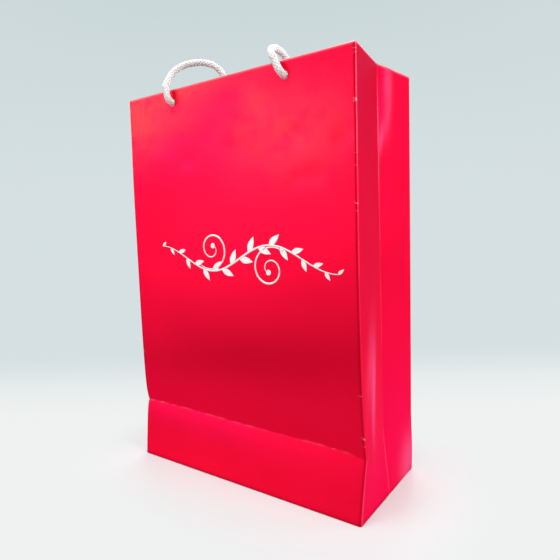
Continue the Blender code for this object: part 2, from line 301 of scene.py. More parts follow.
cordHandle = {
    "diameter": 0.0055, "holeSpacing": 0.110, "holeDrop": 0.0105, "wallStack": 0.0023, "slack": 0.0003,
    "leftLean": 0.0023, "rightLean": 0.006,
    "knotRadius": 0.0046, "knotTurns": 1.4, "knotPitch": 0.0052, "tail": 0.009,
    "strands": 6, "lay": 0.018, "strandRadius": 0.00070, "layRadius": 0.00180, "lift": 0.00024,
    "coreRadius": 0.0020, "step": 0.0005,
    "bendBelow": 0.0055, "bendAbove": 0.0085, "seam": 0.015,
}

# Route of a handle at rest, across, inwards and up from where each end bends over the rim
leftLeg = [
    (0.0, 0.0, 0.0), (0.0002, 0.0028, 0.0052), (0.0026, 0.0077, 0.0126), (0.0088, 0.0128, 0.0172),
    (0.0172, 0.0172, 0.0187), (0.0258, 0.0213, 0.0177), (0.0328, 0.0250, 0.0142), (0.0376, 0.0280, 0.0070),
    (0.0404, 0.0298, -0.0050), (0.0424, 0.0305, -0.0200), (0.0460, 0.0305, -0.0365),
    (0.0530, 0.0305, -0.0510), (0.0635, 0.0305, -0.0600),
]
rightLeg = [
    (-0.0300, 0.0303, -0.0610), (-0.0185, 0.0300, -0.0540), (-0.0108, 0.0300, -0.0405),
    (-0.0068, 0.0300, -0.0245), (-0.0052, 0.0297, -0.0095), (-0.0052, 0.0275, 0.0022),
    (-0.0062, 0.0222, 0.0086), (-0.0070, 0.0150, 0.0105), (-0.0066, 0.0082, 0.0085),
    (-0.0040, 0.0032, 0.0045), (0.0, 0.0, 0.0),
]


def braidTree():
    tree, given, result = newTree("braidedCord", {
        "Step": "Float", "Strands": "Int", "Lay": "Float", "Lay Radius": "Float", "Lift": "Float",
        "Strand Radius": "Float", "Core Radius": "Float", "Finish": "Material"})
    curve = addNode(tree, "GeometryNodeMeshToCurve", {0: given["Geometry"]}).outputs[0]
    even = addNode(tree, "GeometryNodeResampleCurve", {"Curve": curve, "Length": given["Step"]}, mode="LENGTH").outputs[0]
    along = addNode(tree, "GeometryNodeSplineParameter").outputs["Length"]
    marked = addNode(tree, "GeometryNodeStoreNamedAttribute", {"Geometry": even, "Name": "along", "Value": along},
                     data_type="FLOAT", domain="POINT").outputs[0]
    copies = addNode(tree, "GeometryNodeDuplicateElements",
                     {"Geometry": marked, "Amount": calc(tree, "MULTIPLY", given["Strands"], 2.0)}, domain="SPLINE")
    index = copies.outputs["Duplicate Index"]
    way = calc(tree, "SUBTRACT", 1.0, calc(tree, "MULTIPLY", calc(tree, "MODULO", index, 2.0), 2.0))
    turn = calc(tree, "DIVIDE", calc(tree, "MULTIPLY", along, math.tau), given["Lay"])
    start = calc(tree, "DIVIDE", calc(tree, "MULTIPLY", calc(tree, "FLOOR", calc(tree, "DIVIDE", index, 2.0)), math.tau),
                 given["Strands"])
    angle = calc(tree, "MULTIPLY_ADD", way, turn, start)
    wave = calc(tree, "COSINE", calc(tree, "MULTIPLY", turn, given["Strands"]))
    radius = calc(tree, "MULTIPLY_ADD", calc(tree, "MULTIPLY", way, given["Lift"]), wave, given["Lay Radius"])
    normal = addNode(tree, "GeometryNodeInputNormal").outputs[0]
    tangent = addNode(tree, "GeometryNodeInputTangent").outputs[0]
    sideways = vecCalc(tree, "CROSS_PRODUCT", tangent, normal)
    out = vecCalc(tree, "ADD", vecCalc(tree, "SCALE", normal, calc(tree, "COSINE", angle)),
                  vecCalc(tree, "SCALE", sideways, calc(tree, "SINE", angle)))
    wound = addNode(tree, "GeometryNodeSetPosition",
                    {"Geometry": copies.outputs["Geometry"], "Offset": vecCalc(tree, "SCALE", out, radius)}).outputs[0]
    parts = []
    # The core tube is marked so that its finish paints it darker, as painted shade
    for path, size, sides, core in ((wound, "Strand Radius", 6, 0.0), (marked, "Core Radius", 10, 1.0)):
        ring = addNode(tree, "GeometryNodeCurvePrimitiveCircle", {"Resolution": sides, "Radius": given[size]}).outputs[0]
        tube = addNode(tree, "GeometryNodeCurveToMesh", {"Curve": path, "Profile Curve": ring, "Fill Caps": True}).outputs[0]
        parts.append(addNode(tree, "GeometryNodeStoreNamedAttribute", {"Geometry": tube, "Name": "core", "Value": core},
                             data_type="FLOAT", domain="POINT").outputs[0])
    joined = addNode(tree, "GeometryNodeJoinGeometry")
    for part in parts:
        tree.links.new(part, joined.inputs[0])
    plain = addNode(tree, "GeometryNodeRealizeInstances", {0: joined.outputs[0]}).outputs[0]
    dressed = addNode(tree, "GeometryNodeSetMaterial", {"Geometry": plain, "Material": given["Finish"]}).outputs[0]
    tree.links.new(dressed, result)
    return tree


def cordEnd(hole, pivot):
    # From the tail, through the knot and the hole, up the outside: across, inwards and up from the pivot line
    c = cordHandle
    inner = c["diameter"] * 0.5 + c["slack"] + c["wallStack"]
    wall = c["standoff"]
    coil = [wall + inner + c["knotPitch"] * c["knotTurns"] * step / 30 for step in range(31)]
    points = []
    for step in range(-8, 39):
        turns = c["knotTurns"] * step / 30
        spread = min(1.0, (step + 8) / 8, (38 - step) / 8)
        radius = c["knotRadius"] * spread * spread * (3 - 2 * spread)
        depth = coil[min(max(step, 0), 30)] + (0.0026 * (step - 30) / 8 if step > 30 else 0.0026 * min(step, 0) / 8)
        angle = math.tau * turns
        points.append(Vector((hole + radius * math.cos(angle), depth, -c["drop"] + radius * math.sin(angle))))
    far = points[-1]
    tail = [far + Vector((0.0012 * share, c["tail"] * share, -0.0025 * share * share)) for share in (1.0, 0.7, 0.35)]
    lean = (pivot - hole) / c["drop"]
    outside = []
    for degrees in (0, 22, 45, 68, 90):
        rise = wall * (1 - math.cos(math.radians(degrees)))
        outside.append(Vector((hole + lean * rise, wall * (1 - math.sin(math.radians(degrees))), rise - c["drop"])))
    through = [Vector((hole, wall + c["wallStack"] * share, -c["drop"])) for share in (1.0, 0.5)]
    return tail + points[::-1] + through + outside + [Vector((hole + lean * 0.0095, 0.0, 0.0095 - c["drop"]))]


def cordRoute(joint, turned):
    c = cordHandle
    half = c["holeSpacing"] / 2
    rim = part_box("front_panel")[1].z
    edge = max(abs(v.co.y) for v in frame["nodes"]["front_panel"].data.vertices if v.co.z > rim - 0.0001)
    height = joint["pos_m"][2]
    c["drop"] = height - rim + c["holeDrop"]
    c["standoff"] = abs(joint["pos_m"][1]) - edge
    leftPivot, rightPivot = -half - c["leftLean"], half - c["rightLean"]
    ends = [cordEnd(-half, leftPivot), cordEnd(half, rightPivot)]
    loop = [Vector(p) + Vector((leftPivot, 0, 0)) for p in leftLeg] + [Vector(p) + Vector((rightPivot, 0, 0)) for p in rightLeg]
    points = ends[0] + loop + ends[1][::-1]
    steps = 5
    line = smoothLine(points, steps)
    marks = (steps * len(ends[0]), steps * (len(ends[0]) + len(loop) - 1))
    turn = Quaternion((0, 0, 1), math.pi if turned else 0.0)
    shift = Vector((0, -abs(joint["pos_m"][1]), height))
    return [turn @ (point + shift) for point in line], marks


def cutOut(mesh, name, low, high):
    shape = bmesh.new()
    shape.from_mesh(mesh)
    layer = shape.verts.layers.float["along"]
    away = [face for face in shape.faces
            if not low <= sum(vert[layer] for vert in face.verts) / len(face.verts) <= high]
    bmesh.ops.delete(shape, geom=away, context="FACES")
    bmesh.ops.holes_fill(shape, edges=[edge for edge in shape.edges if edge.is_boundary])
    bmesh.ops.recalc_face_normals(shape, faces=shape.faces)
    part = bpy.data.meshes.new(name)
    shape.to_mesh(part)
    shape.free()
    part.materials.append(whiteCord)
    part.shade_smooth()
    part.set_sharp_from_angle(angle=math.radians(60))
    return addPiece(name, part)


def addHandle(face, tree, turned):
    c = cordHandle
    joint = next(j for j in frame["joints"] if j["name"] == face + "_handle_swing")
    line, marks = cordRoute(joint, turned)
    lengths = lengthsAlong(line)
    low, high = lengths[marks[0]] + c["seam"], lengths[marks[1]] - c["seam"]
    braid = runTree(lineObject(face + "Line", [line]), tree, {
        "Step": c["step"], "Strands": c["strands"], "Lay": c["lay"], "Lay Radius": c["layRadius"], "Lift": c["lift"],
        "Strand Radius": c["strandRadius"], "Core Radius": c["coreRadius"], "Finish": whiteCord})
    sides = ("right", "left") if turned else ("left", "right")
    loop = cutOut(braid, face + "_cord_loop", low, high)
    ends = [cutOut(braid, f"{face}_{sides[0]}_cord_end", -1.0, low), cutOut(braid, f"{face}_{sides[1]}_cord_end", high, 9.0)]
    bpy.data.meshes.remove(braid)
    body = face + "_cord"
    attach(loop, body)
    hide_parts(face + "_handle")
    y, z = joint["pos_m"][1:]
    for side, end in zip(sides, ends):
        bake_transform(end, "bag", body, start=(0, y, z - c["bendBelow"]), end=(0, y, z + c["bendAbove"]))
        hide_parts(f"{face}_{side}_knot")
    print(f"{face} cord: {lengths[-1] * 1000:.0f} mm in all, {(high - low) * 1000:.0f} mm of it the swinging loop")


handleTree = braidTree()
addHandle("front", handleTree, False)
addHandle("back", handleTree, True)


# Paper shell: one creased sheet, wrapped round, drawn in at the crease and turned in at the rim

paperShell = {
    "sheet": 0.0004, "cornerRadius": 0.0019, "gussetRadius": 0.0013,
    "tuckRim": 0.007, "tuckCrease": 0.005,
    "frontPinch": (0.72, 1.30), "backPinch": (1.0, 1.0),     # at the left and right corner, of the mean
    "leanShare": (0.62, 0.85), "leanReach": 0.060, "notchReach": 0.008,
    "bandShare": (0.66, 0.92), "lipReach": 0.006,
    "creaseLift": [(0.0, 0.0022), (0.10, 0.0028), (0.50, 0.0004), (0.90, -0.0014), (1.0, -0.0042)],     # share along, lift
    "creaseReach": 0.020,
    "hemDepth": 0.036, "rimFold": 0.0012, "stackOverCard": 0.0023, "stackBare": 0.0012,
    "cardHalfWidth": 0.090, "holeRadius": 0.00325,
    "ripple": 0.0006, "rippleSize": 0.060,
}

# Soft dents and swellings: facet, along it, height, reach along, reach up, turn in degrees, outwards
dents = [
    ("front", 0.055, 0.245, 0.050, 0.045, 20.0, 0.0010),
    ("front", 0.130, 0.225, 0.030, 0.025, -20.0, 0.0006),
    ("front", 0.172, 0.270, 0.008, 0.006, 25.0, -0.00060),
    ("front", 0.188, 0.240, 0.007, 0.006, -15.0, -0.00064),
    ("front", 0.173, 0.238, 0.006, 0.005, 40.0, -0.00050),
    ("front", 0.209, 0.262, 0.006, 0.008, 0.0, -0.00060),
    ("front", 0.070, 0.262, 0.008, 0.006, 10.0, -0.00050),
    ("front", 0.118, 0.268, 0.009, 0.006, -30.0, -0.00050),
    ("front", 0.090, 0.105, 0.050, 0.028, 12.0, -0.0007),
    ("rightFront", 0.0220, 0.085, 0.0065, 0.050, -6.0, 0.0006),
    ("rightBack", 0.0120, 0.300, 0.0070, 0.045, -12.0, 0.0010),
    ("rightBack", 0.0400, 0.014, 0.0090, 0.022, -16.0, 0.0008),
    ("leftBack", 0.0300, 0.150, 0.0070, 0.050, 8.0, 0.0007),
    ("leftFront", 0.0200, 0.275, 0.0070, 0.040, 12.0, 0.0008),
    ("back", 0.075, 0.205, 0.050, 0.040, 15.0, 0.0009),
    ("back", 0.160, 0.120, 0.040, 0.030, -25.0, -0.0007),
]

# Painted highlight streaks: paler places standing in for reflections where a gusset bulges, given as the dents are,
# with a share at the end
highlightStreaks = [
    ("rightFront", 0.0240, 0.086, 0.0042, 0.030, -7.0, 1.0),
    ("rightFront", 0.0190, 0.108, 0.0075, 0.028, -12.0, 0.48),
    ("rightBack", 0.0155, 0.304, 0.0052, 0.026, -4.0, 0.55),
    ("rightBack", 0.0100, 0.277, 0.0042, 0.015, -20.0, 0.30),
    ("rightBack", 0.0036, 0.267, 0.0022, 0.010, -12.0, 0.45),
    ("rightBack", 0.0390, 0.011, 0.0140, 0.023, -24.0, 0.95),
    ("leftBack", 0.0310, 0.145, 0.0024, 0.034, 8.0, 0.40),
    ("leftFront", 0.0210, 0.285, 0.0045, 0.026, 12.0, 0.35),
    ("leftFront", 0.0400, 0.014, 0.0080, 0.016, 16.0, 0.45),
]

# Painted sheen: paler places near the rim standing in for a highlight, given alike
sheenPlaces = [
    ("front", 0.0080, 0.301, 0.0300, 0.0300, 20.0, 0.95),
    ("front", 0.1700, 0.271, 0.0500, 0.0310, 0.0, 0.55),
    ("front", 0.1360, 0.296, 0.0140, 0.0240, -30.0, 0.35),
    ("front", 0.0600, 0.296, 0.0300, 0.0130, 0.0, 0.36),
    ("front", 0.0500, 0.317, 0.0650, 0.0100, 0.0, 0.80),
    ("back", 0.0550, 0.270, 0.0500, 0.0320, 0.0, 0.40),
    ("back", 0.2050, 0.290, 0.0250, 0.0250, 0.0, 0.45),
]

# Painted reflection: places low down tinted a little rosier, given alike
roses = [
    ("front", 0.0600, 0.039, 0.0900, 0.0100, 0.0, 0.45),
    ("rightFront", 0.0250, 0.015, 0.0600, 0.0500, 0.0, 0.70),
    ("rightBack", 0.0250, 0.030, 0.0600, 0.0800, 0.0, 0.65),
    ("leftFront", 0.0250, 0.030, 0.0600, 0.0800, 0.0, 0.50),
    ("leftBack", 0.0250, 0.015, 0.0600, 0.0500, 0.0, 0.50),
]

# Painted light: a brighter place on the band, given alike
brights = [
    ("front", 0.0700, 0.020, 0.1100, 0.0380, 0.0, 0.95),
]

# Painted shade: darker places, given alike
shades = [
    ("front", 0.1250, 0.105, 0.1600, 0.025, 6.0, 0.85),
    ("rightFront", 0.0250, 0.320, 0.0600, 0.120, 0.0, 0.75),
    ("rightBack", 0.0020, 0.305, 0.0030, 0.022, -6.0, 0.35),
]

# How strongly the painted highlight line shows along a fold: height, share
foldLight = {
    "corner": [(0.0, 0.9), (0.040, 0.8), (0.055, 0.2), (0.220, 0.25), (0.265, 0.95), (0.310, 1.0)],
    "middle": [(0.0, 0.9), (0.045, 0.8), (0.055, 0.1), (0.110, 0.1), (0.125, 0.7), (0.190, 0.5),
               (0.220, 1.0), (0.300, 1.0), (0.315, 0.3)],
    "patch": 0.011, "bare": 0.25, "footEdge": 0.0018,
}
facets = ("front", "rightFront", "rightBack", "back", "leftBack", "leftFront")


def readSizes():
    p = paperShell
    panel = np.array([v.co for v in frame["nodes"]["front_panel"].data.vertices])
    band = np.array([v.co for v in frame["nodes"]["front_base_band"].data.vertices])
    p["height"] = panel[:, 2].max()
    p["crease"] = (panel[:, 2].min() + band[:, 2].max()) / 2
    rear = np.array([v.co for v in frame["nodes"]["back_panel"].data.vertices])
    rim = panel[panel[:, 2] > p["height"] - 0.0001]
    foot = band[band[:, 2] < 0.0001]
    p["rimHalf"] = rim[:, 0].max(), -rim[:, 1].min()
    p["baseHalf"] = foot[:, 0].max(), -foot[:, 1].min()
    straight = p["baseHalf"][1] + (p["rimHalf"][1] - p["baseHalf"][1]) * p["crease"] / p["height"]
    front, back = [straight - abs(wall[wall[:, 2] < p["crease"] + 0.0005, 1]).max() for wall in (panel, rear)]
    p["pinch"] = [front * p["frontPinch"][0], front * p["frontPinch"][1],
                  back * p["backPinch"][1], back * p["backPinch"][0]]


def cornersAt(z):
    # Six fold lines round the bag at an array of heights: rows, folds, across and deep
    p = paperShell
    share = z / p["height"]
    wide = p["baseHalf"][0] + (p["rimHalf"][0] - p["baseHalf"][0]) * share
    deep = p["baseHalf"][1] + (p["rimHalf"][1] - p["baseHalf"][1]) * share
    gap = abs(z - p["crease"])
    drawnIn = []
    for band, lean in zip(p["bandShare"], p["leanShare"]):
        below = band * z / p["crease"] + (1 - band) * np.exp(-gap / p["lipReach"])
        above = lean * np.exp(-gap / p["leanReach"]) + (1 - lean) * np.exp(-gap / p["notchReach"])
        drawnIn.append(np.where(z < p["crease"], below, above))
    left, right = drawnIn
    tuck = np.where(z < p["crease"], p["tuckCrease"] * z / p["crease"],
                    p["tuckCrease"] + (p["tuckRim"] - p["tuckCrease"]) * (z - p["crease"]) / (p["height"] - p["crease"]))
    fl, fr, br, bl = [deep - drawn * pinch for drawn, pinch in zip((left, right, right, left), p["pinch"])]
    flat = np.zeros_like(z)
    across = np.stack([-wide, wide, wide - tuck, wide, -wide, tuck - wide], axis=1)
    depth = np.stack([-fl, -fr, flat, br, bl, flat], axis=1)
    return np.stack([across, depth], axis=2)


def stationList():
    # Columns of the sheet: facet number and share along it, closer together at the folds
    near = np.array([0.0, 0.25, 0.5, 0.75, 1.0, 1.6])
    stations = []
    for facet, name in enumerate(facets):
        long = name in ("front", "back")
        length, count = (0.219, 52) if long else (0.049, 30)
        radii = [paperShell["gussetRadius" if fold in (2, 5) else "cornerRadius"] for fold in (facet, (facet + 1) % 6)]
        first, last = near * radii[0] / length, 1 - near[1:][::-1] * radii[1] / length
        middle = np.linspace(first[-1], last[0], count)[1:-1]
        stations += [(facet, share) for share in (*first, *middle, *last)]
    return stations


def sectionPoints(corners, stations):
    rows = len(corners)
    sides = np.roll(corners, -1, axis=1) - corners
    lengths = np.linalg.norm(sides, axis=2)
    ways = sides / lengths[..., None]
    points = np.empty((rows, len(stations), 2))
    for column, (facet, share) in enumerate(stations):
        length = lengths[:, facet]
        spot = corners[:, facet] + ways[:, facet] * (share * length)[:, None]
        for fold, gap, sign in ((facet, share * length, 1), ((facet + 1) % 6, (1 - share) * length, -1)):
            radius = paperShell["gussetRadius" if fold in (2, 5) else "cornerRadius"]
            t = (0.5 + sign * gap / (2 * radius))[:, None]
            before = corners[:, fold] - ways[:, fold - 1] * radius
            after = corners[:, fold] + ways[:, fold] * radius
            curve = (1 - t) ** 2 * before + 2 * t * (1 - t) * corners[:, fold] + t ** 2 * after
            spot = np.where((gap < radius)[:, None], curve, spot)
        points[:, column] = spot
    return points, lengths


def fade(value, reach):
    share = np.clip(value / reach, 0, 1)
    return share * share * (3 - 2 * share)


def spots(places, facet, along, z):
    # Sum of the soft oval spots on one facet, at one column, for all heights
    total = np.zeros_like(z)
    for name, place, height, reach, rise, turn, amount in places:
        if facets[facet] == name:
            across, up = along - place, z - height
            c, s = math.cos(math.radians(turn)), math.sin(math.radians(turn))
            total += amount * np.exp(-((across * c + up * s) / reach) ** 2 - ((up * c - across * s) / rise) ** 2)
    return total


def swelling(facet, along, length, z):
    # How far the sheet stands out from its flat facet at one column, for all heights
    p = paperShell
    total = spots(dents, facet, along, z)
    ripple = [noise.noise(Vector((along / p["rippleSize"] + 7.3 * facet, h / p["rippleSize"], 0.4))) for h in z]
    edge = fade(np.minimum(along, length - along), 0.016)
    total += p["ripple"] * np.array(ripple) * edge
    waist = p["ripple"] * 0.9 * np.array([noise.noise(Vector((along / 0.028 + 3.1 * facet, 2.0, 1.7)))] * len(z))
    total += waist * np.exp(-((z - p["crease"]) / 0.022) ** 2) * edge
    if facets[facet] in ("front", "back"):       # the card keeps the top flat
        total *= 1 - 0.85 * fade(z - (p["height"] - p["hemDepth"] - 0.020), 0.020)
    return total * fade(z, 0.012)


def shellHeights():
    p = paperShell
    foot = [0.0, 0.0003, 0.0008, 0.002]
    band = list(np.arange(0.005, p["crease"] - 0.010, 0.004))
    lip = [p["crease"] + d for d in (-0.0095, -0.0065, -0.0042, -0.0026, -0.0015, -0.0007, -0.0002, 0.0003,
                                     0.0009, 0.0018, 0.0032, 0.0052, 0.008)]
    top = p["height"] - p["rimFold"]
    walls = list(np.arange(p["crease"] + 0.0115, top - 0.004, 0.004))
    return np.array(foot + band + lip + walls + [top - 0.0022, top - 0.0008, top])


def outwards(points):
    # Level normals of each row of a closed section
    along = np.roll(points, -1, axis=1) - np.roll(points, 1, axis=1)
    normal = np.stack([along[..., 1], -along[..., 0]], axis=2)
    return normal / np.linalg.norm(normal, axis=2, keepdims=True)


def layerDepth(stations, points):
    # From the outer face to the inner face of the turned-in hem, thicker over the card
    p = paperShell
    depth = np.full(len(stations), p["stackBare"])
    for column, (facet, share) in enumerate(stations):
        if facets[facet] in ("front", "back"):
            over = fade(p["cardHalfWidth"] + 0.006 - abs(points[-1, column, 0]), 0.006)
            depth[column] += (p["stackOverCard"] - p["stackBare"]) * over
    return depth


def shellGrid():
    p = paperShell
    z = shellHeights()
    stations = stationList()
    points, lengths = sectionPoints(cornersAt(z), stations)
    normal = outwards(points)
    for column, (facet, share) in enumerate(stations):
        out = swelling(facet, float(share * lengths[:, facet].mean()), float(lengths[:, facet].mean()), z)
        points[:, column] += normal[:, column] * out[:, None]
    normal = outwards(points)
    tucked = np.array([0.00045, 0.00015, 0.0, 0.0])          # the foot rolls under
    points[:4] -= normal[:4] * tucked[:, None, None]
    rows = [np.column_stack([points[i], np.full(len(stations), h)]) for i, h in enumerate(z)]
    depth = layerDepth(stations, points)
    for step in range(1, 8):
        angle = math.pi * step / 8
        level = points[-1] - normal[-1] * (depth / 2 * (1 - math.cos(angle)))[:, None]
        rows.append(np.column_stack([level, np.full(len(stations), z[-1] + p["rimFold"] * math.sin(angle))]))
    inside = [i for i in range(len(z) - 1, 0, -1) if z[i] > p["height"] - p["hemDepth"]]
    for i in inside:
        level = points[i] - normal[i] * depth[:, None]
        rows.append(np.column_stack([level, np.full(len(stations), z[i])]))
    return np.array(rows), stations, z


def sagCrease(grid, stations):
    # The front crease isn't quite level: it climbs to the left and drops into the right corner
    p = paperShell
    lift = np.zeros(len(stations))
    for column, (facet, share) in enumerate(stations):
        if facets[facet] == "front":
            lift[column] = np.interp(share, *zip(*p["creaseLift"]))
        elif facets[facet] == "rightFront":
            lift[column] = p["creaseLift"][-1][1] * (1 - fade(share, 0.6))
        elif facets[facet] == "leftFront":
            lift[column] = p["creaseLift"][0][1] * (1 - fade(1 - share, 0.6))
    window = np.exp(-((grid[..., 2] - p["crease"]) / p["creaseReach"]) ** 2)
    grid[..., 2] += lift * window


def wearAndLightMaps(grid, stations, z):
    # Painted highlight line along the folds and painted groove shade beside them, painted shade in spots and along the
    # foot, painted sheen, streak, rose and light places, cracks at the corners and the crease, and the worn rim with a
    # painted highlight
    p = paperShell
    names = ("foldHighlight", "paintedShade", "foldWear", "cornerWear", "paintedStreak", "paintedSheen", "paintedBright", "paintedRose", "rimWearAndSheen")
    maps = {name: np.zeros(grid.shape[:2]) for name in names}
    level = grid[..., 2].copy()
    crease = np.exp(-((level - p["crease"]) / 0.0006) ** 2)
    for column, (facet, share) in enumerate(stations):
        wide = facets[facet] in ("front", "back")
        gap = min(share, 1 - share) * (0.219 if wide else 0.049)
        middleFold = not wide and (share < 0.5) == (facet in (2, 5))
        if wide:
            # Painted shade of a groove just in from the corner
            maps["paintedShade"][:, column] = math.exp(-((gap - 0.0013) / 0.0009) ** 2)
            maps["foldWear"][:, column] = 0.5 * crease[:, column]
            # Painted highlight along the crease, broken into patches
            patch = noise.noise(Vector((share * 0.219 / foldLight["patch"], 5.0, 0.3 + facet)))
            maps["foldHighlight"][:, column] = 0.9 * fade(patch + foldLight["bare"], 0.6) * crease[:, column]
        elif middleFold:
            maps["foldHighlight"][:, column] = math.exp(-(gap / 0.0007) ** 2) * np.interp(level[:, column], *zip(*foldLight["middle"]))
        else:
            maps["foldHighlight"][:, column] = (math.exp(-((gap - 0.0007) / 0.0007) ** 2)
                                           * np.interp(level[:, column], *zip(*foldLight["corner"])))
        if not middleFold:
            maps["cornerWear"][:, column] = math.exp(-(gap / (0.0017 if wide else 0.0010)) ** 2)
        along = share * (0.219 if wide else 0.049)
        maps["paintedStreak"][:len(z), column] = spots(highlightStreaks, facet, along, z)
        maps["paintedSheen"][:len(z), column] = spots(sheenPlaces, facet, along, z)
        maps["paintedBright"][:len(z), column] = spots(brights, facet, along, z)
        maps["paintedRose"][:len(z), column] = spots(roses, facet, along, z)
        # Painted shade in spots, and along the foot where the bag meets the floor
        maps["paintedShade"][:len(z), column] += spots(shades, facet, along, z) + 1.3 * np.exp(-(z / foldLight["footEdge"]) ** 2)
    # Worn rim, partly a painted highlight, fainter on the inside
    maps["rimWearAndSheen"][:] = np.exp(-((p["height"] - level) / 0.0009) ** 2)
    maps["rimWearAndSheen"][len(z) + 5:] *= 0.3
    return maps


def addShell():
    p = paperShell
    readSizes()
    grid, stations, z = shellGrid()
    wearAndLight = wearAndLightMaps(grid, stations, z)
    sagCrease(grid, stations)
    rows, columns = grid.shape[:2]
    along = np.roll(grid, -1, axis=1) - np.roll(grid, 1, axis=1)
    upwards = np.gradient(grid, axis=0)
    normal = np.cross(along, upwards)
    normal /= np.linalg.norm(normal, axis=2, keepdims=True)
    inner = grid - normal * p["sheet"]
    points = np.concatenate([grid.reshape(-1, 3), inner.reshape(-1, 3)])
    layer = rows * columns
    faces, finishes = [], []
    for row in range(rows - 1):
        for column in range(columns):
            after = (column + 1) % columns
            a, b, c, d = row * columns + column, row * columns + after, (row + 1) * columns + after, (row + 1) * columns + column
            faces += [(a, b, c, d), (layer + d, layer + c, layer + b, layer + a)]
            finishes += [0, 1]
    for row, turned in ((0, True), (rows - 1, False)):
        for column in range(columns):
            a, b = row * columns + column, row * columns + (column + 1) % columns
            edge = (a, b, layer + b, layer + a)
            faces.append(edge[::-1] if turned else edge)
            finishes.append(1)
    mesh = bpy.data.meshes.new("paper_shell")
    mesh.from_pydata(points.tolist(), [], faces)
    mesh.materials.append(redLaminate)
    mesh.materials.append(barePaper)
    mesh.polygons.foreach_set("material_index", finishes)
    for name, values in wearAndLight.items():
        both = np.concatenate([values.ravel(), values.ravel()]).astype(np.float32)
        mesh.attributes.new(name, "FLOAT", "POINT").data.foreach_set("value", both)
    shell = addPiece("paper_shell", mesh)
    punchHoles(shell)
    shell.data.shade_smooth()
    shell.data.set_sharp_from_angle(angle=math.radians(50))
    return shell


def punchHoles(shell):
    p, c = paperShell, cordHandle
    shape = bmesh.new()
    for face in (-1, 1):
        for side in (-1, 1):
            made = bmesh.ops.create_cone(shape, cap_ends=True, segments=32, radius1=p["holeRadius"],
                                         radius2=p["holeRadius"], depth=0.020)
            bmesh.ops.rotate(shape, verts=made["verts"], matrix=Quaternion((1, 0, 0), math.pi / 2).to_matrix())
            place = (side * c["holeSpacing"] / 2, face * p["rimHalf"][1], p["height"] - c["holeDrop"])
            bmesh.ops.translate(shape, verts=made["verts"], vec=place)
    for face in shape.faces:
        face.material_index = 1
    mesh = bpy.data.meshes.new("holePunch")
    shape.to_mesh(mesh)
    shape.free()
    mesh.materials.append(redLaminate)
    mesh.materials.append(barePaper)
    punch = addPiece("holePunch", mesh)
    cut = shell.modifiers.new("holes", "BOOLEAN")
    cut.operation = "DIFFERENCE"
    cut.solver = "EXACT"
    cut.object = punch
    graph = bpy.context.evaluated_depsgraph_get()
    cutMesh = bpy.data.meshes.new_from_object(shell.evaluated_get(graph))
    shell.modifiers.remove(cut)
    shell.data = cutMesh
    bpy.data.objects.remove(punch, do_unlink=True)


shell = addShell()
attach(shell, "bag")
walls = [f"{face}_{part}" for face in ("front", "back") for part in ("panel", "base_band", "hem")]
walls += [f"{side}_gusset_{part}{face}" for side in ("left", "right") for part in ("", "foot_", "hem_") for face in ("front", "back")]
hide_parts(*walls)
print("paper shell:", len(shell.data.polygons), "faces")


# What stays as built: cards, glued flap, base flaps and base board

def dressNodes(names, material):
    for name in names:
        mesh = frame["nodes"][name].data
        mesh.materials.clear()
        mesh.materials.append(material)


dressNodes(["front_handle_card", "back_handle_card", "base_board"], greyBoard)
dressNodes(["side_seam_flap", "left_base_flap", "right_base_flap"], barePaper)
dressNodes(["front_base_flap", "back_base_flap"], redLaminate)


# Printed ornament on the front: a curling sprig in white ink

sprig = {
    "middle": (0.010, 0.183), "halfLength": 0.084, "wave": 0.010, "waveLength": 0.112,
    "curlPlace": 0.0075, "curlStart": 225.0, "curlTurn": 560.0, "curlRadius": (0.018, 0.0028),
    "leafSpacing": 0.0098, "leafLength": 0.0130, "leafWidth": 0.0052, "spread": 40.0,
    "stroke": 0.0013, "berry": 0.0021, "proud": 0.00008, "film": 0.00006,
}


def sprigLines():
    # A waving stem, and a curl that leaves it in each hollow
    s = sprig
    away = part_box("front_panel")[0].y - 0.02
    x, z = s["middle"]
    stem = []
    for step in range(81):
        across = s["halfLength"] * (step / 40 - 1)
        stem.append(Vector((x + across, away, z + s["wave"] * math.sin(math.tau * across / s["waveLength"]))))
    lines = [stem]
    for way in (-1, 1):
        curl = []
        for step in range(61):
            share = step / 60
            angle = math.radians(s["curlStart"] + s["curlTurn"] * share)
            radius = s["curlRadius"][0] + (s["curlRadius"][1] - s["curlRadius"][0]) * share ** 0.8
            across = -s["waveLength"] / 4 + radius * math.cos(angle)
            up = s["curlPlace"] + radius * math.sin(angle)
            curl.append(Vector((x - way * across, away, z - way * up)))
        lines.append(curl)
    return lines


